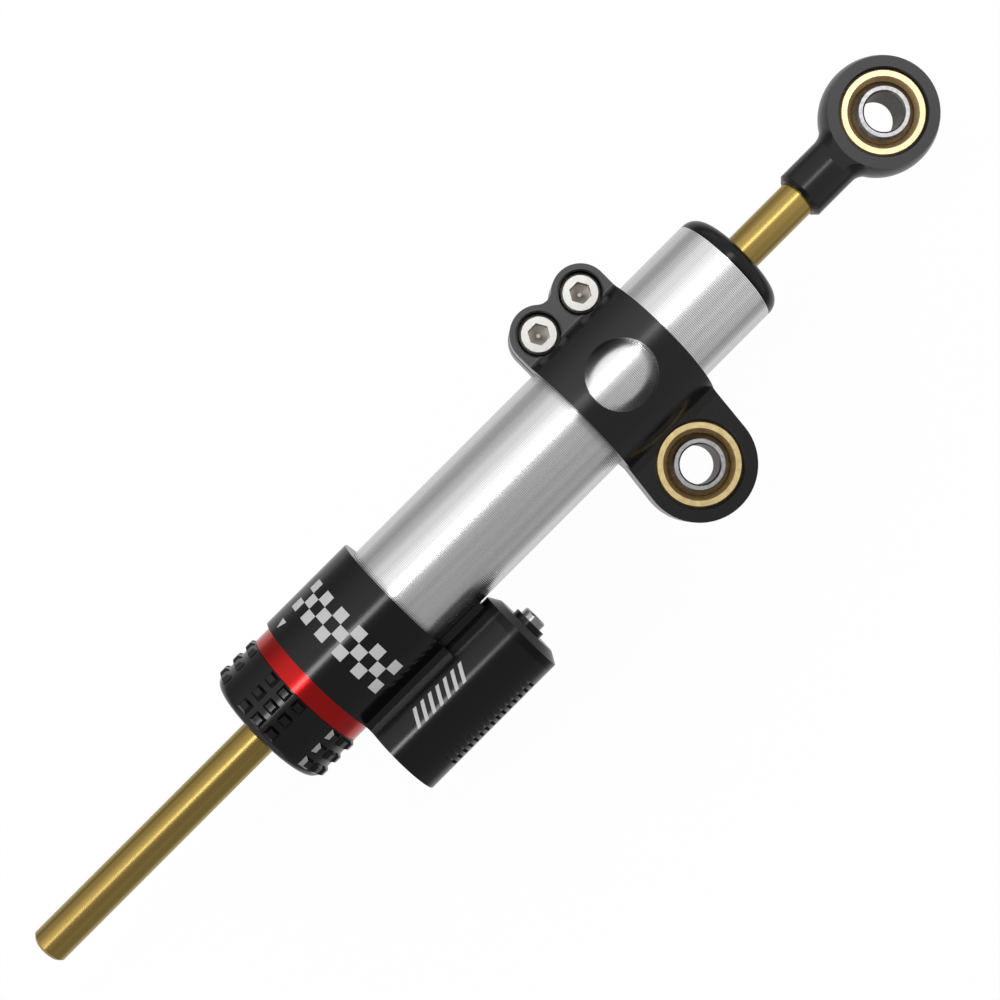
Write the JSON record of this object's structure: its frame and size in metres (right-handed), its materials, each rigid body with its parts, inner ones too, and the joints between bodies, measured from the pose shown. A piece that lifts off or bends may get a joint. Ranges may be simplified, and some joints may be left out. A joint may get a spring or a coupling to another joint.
{
  "type": "steering damper",
  "caption": "Motorcycle steering damper with a through rod, clamp mount, side reservoir, click adjuster knob and spherical bearings at both eyes.",
  "frame": {"origin": "centre of the ball in the clamp's eye, which bolts to the motorcycle's frame", "axes": "+X along the damper towards the rod end, +Y from the clamp's eye towards the damper's axis, +Z along the eye's bore on the side of the clamp's screw heads"},
  "size_m": [0.311, 0.0729, 0.0386],
  "materials": {
    "bare_aluminium": "fine turned",
    "black_anodised": "satin black anodised",
    "red_anodised": "satin red anodised",
    "gold_rod": "polished gold coating",
    "steel": "bright",
    "race_brass": "satin",
    "bronze": "sintered",
    "seal_rubber": "smooth",
    "white_plastic": "matt"
  },
  "bodies": {
    "damper_body": {"outer_tube": "bare_aluminium", "inner_cylinder": "bare_aluminium", "top_cap": "black_anodised", "top_guide": "bare_aluminium", "top_bushing": "bronze", "top_rod_seal": "seal_rubber", "top_wiper": "seal_rubber", "top_guide_o_ring": "seal_rubber", "valve_housing": "black_anodised", "housing_o_ring": "seal_rubber", "lower_guide": "bare_aluminium", "lower_bushing": "bronze", "retaining_ring": "red_anodised", "sleeve_o_ring": "seal_rubber", "detent_spring": "steel", "detent_ball": "steel", "reservoir_cap": "black_anodised", "reservoir_cap_o_ring": "seal_rubber", "fill_screw": "steel", "fill_washer": "black_anodised", "mount_clamp": "black_anodised", "clamp_screws": "steel", "clamp_bearing_race": "race_brass"},
    "piston_band": {"piston_ring": "white_plastic"},
    "rod": {"damper_rod": "gold_rod", "piston": "bare_aluminium", "piston_clips": "steel", "rod_end": "black_anodised", "rod_end_race": "race_brass"},
    "adjuster": {"adjuster_knob": "black_anodised", "valve_sleeve": "steel", "grub_screws": "steel", "lower_rod_seal": "seal_rubber", "lower_wiper": "seal_rubber"},
    "compensator": {"floating_piston": "bare_aluminium", "floating_piston_o_ring": "seal_rubber"},
    "frame_pivot": {"frame_ball": "steel"},
    "fork_pivot": {"fork_ball": "steel"}
  },
  "joints": [
    {"name": "rod_slide", "type": "slide", "parent": "damper_body", "child": "piston_band", "axis": [1, 0, 0], "range_m": [-0.01, 0.065]},
    {"name": "rod_turn", "type": "hinge", "parent": "piston_band", "child": "rod", "pos_m": [0, 0.0296, 0], "axis": [1, 0, 0], "continuous": true},
    {"name": "knob_turn", "type": "hinge", "parent": "damper_body", "child": "adjuster", "pos_m": [0, 0.0296, 0], "axis": [1, 0, 0], "range_deg": [0, 270]},
    {"name": "frame_ball_swing", "type": "hinge", "parent": "damper_body", "child": "frame_pivot", "pos_m": [0, 0, 0], "axis": [0, 0, 1], "continuous": true},
    {"name": "fork_ball_swing", "type": "hinge", "parent": "rod", "child": "fork_pivot", "pos_m": [0.0946, 0.0296, 0], "axis": [0, 0, 1], "continuous": true},
    {"name": "float_slide", "type": "slide", "parent": "damper_body", "child": "compensator", "axis": [1, 0, 0], "range_m": [-0.004, 0.004]}
  ]
}
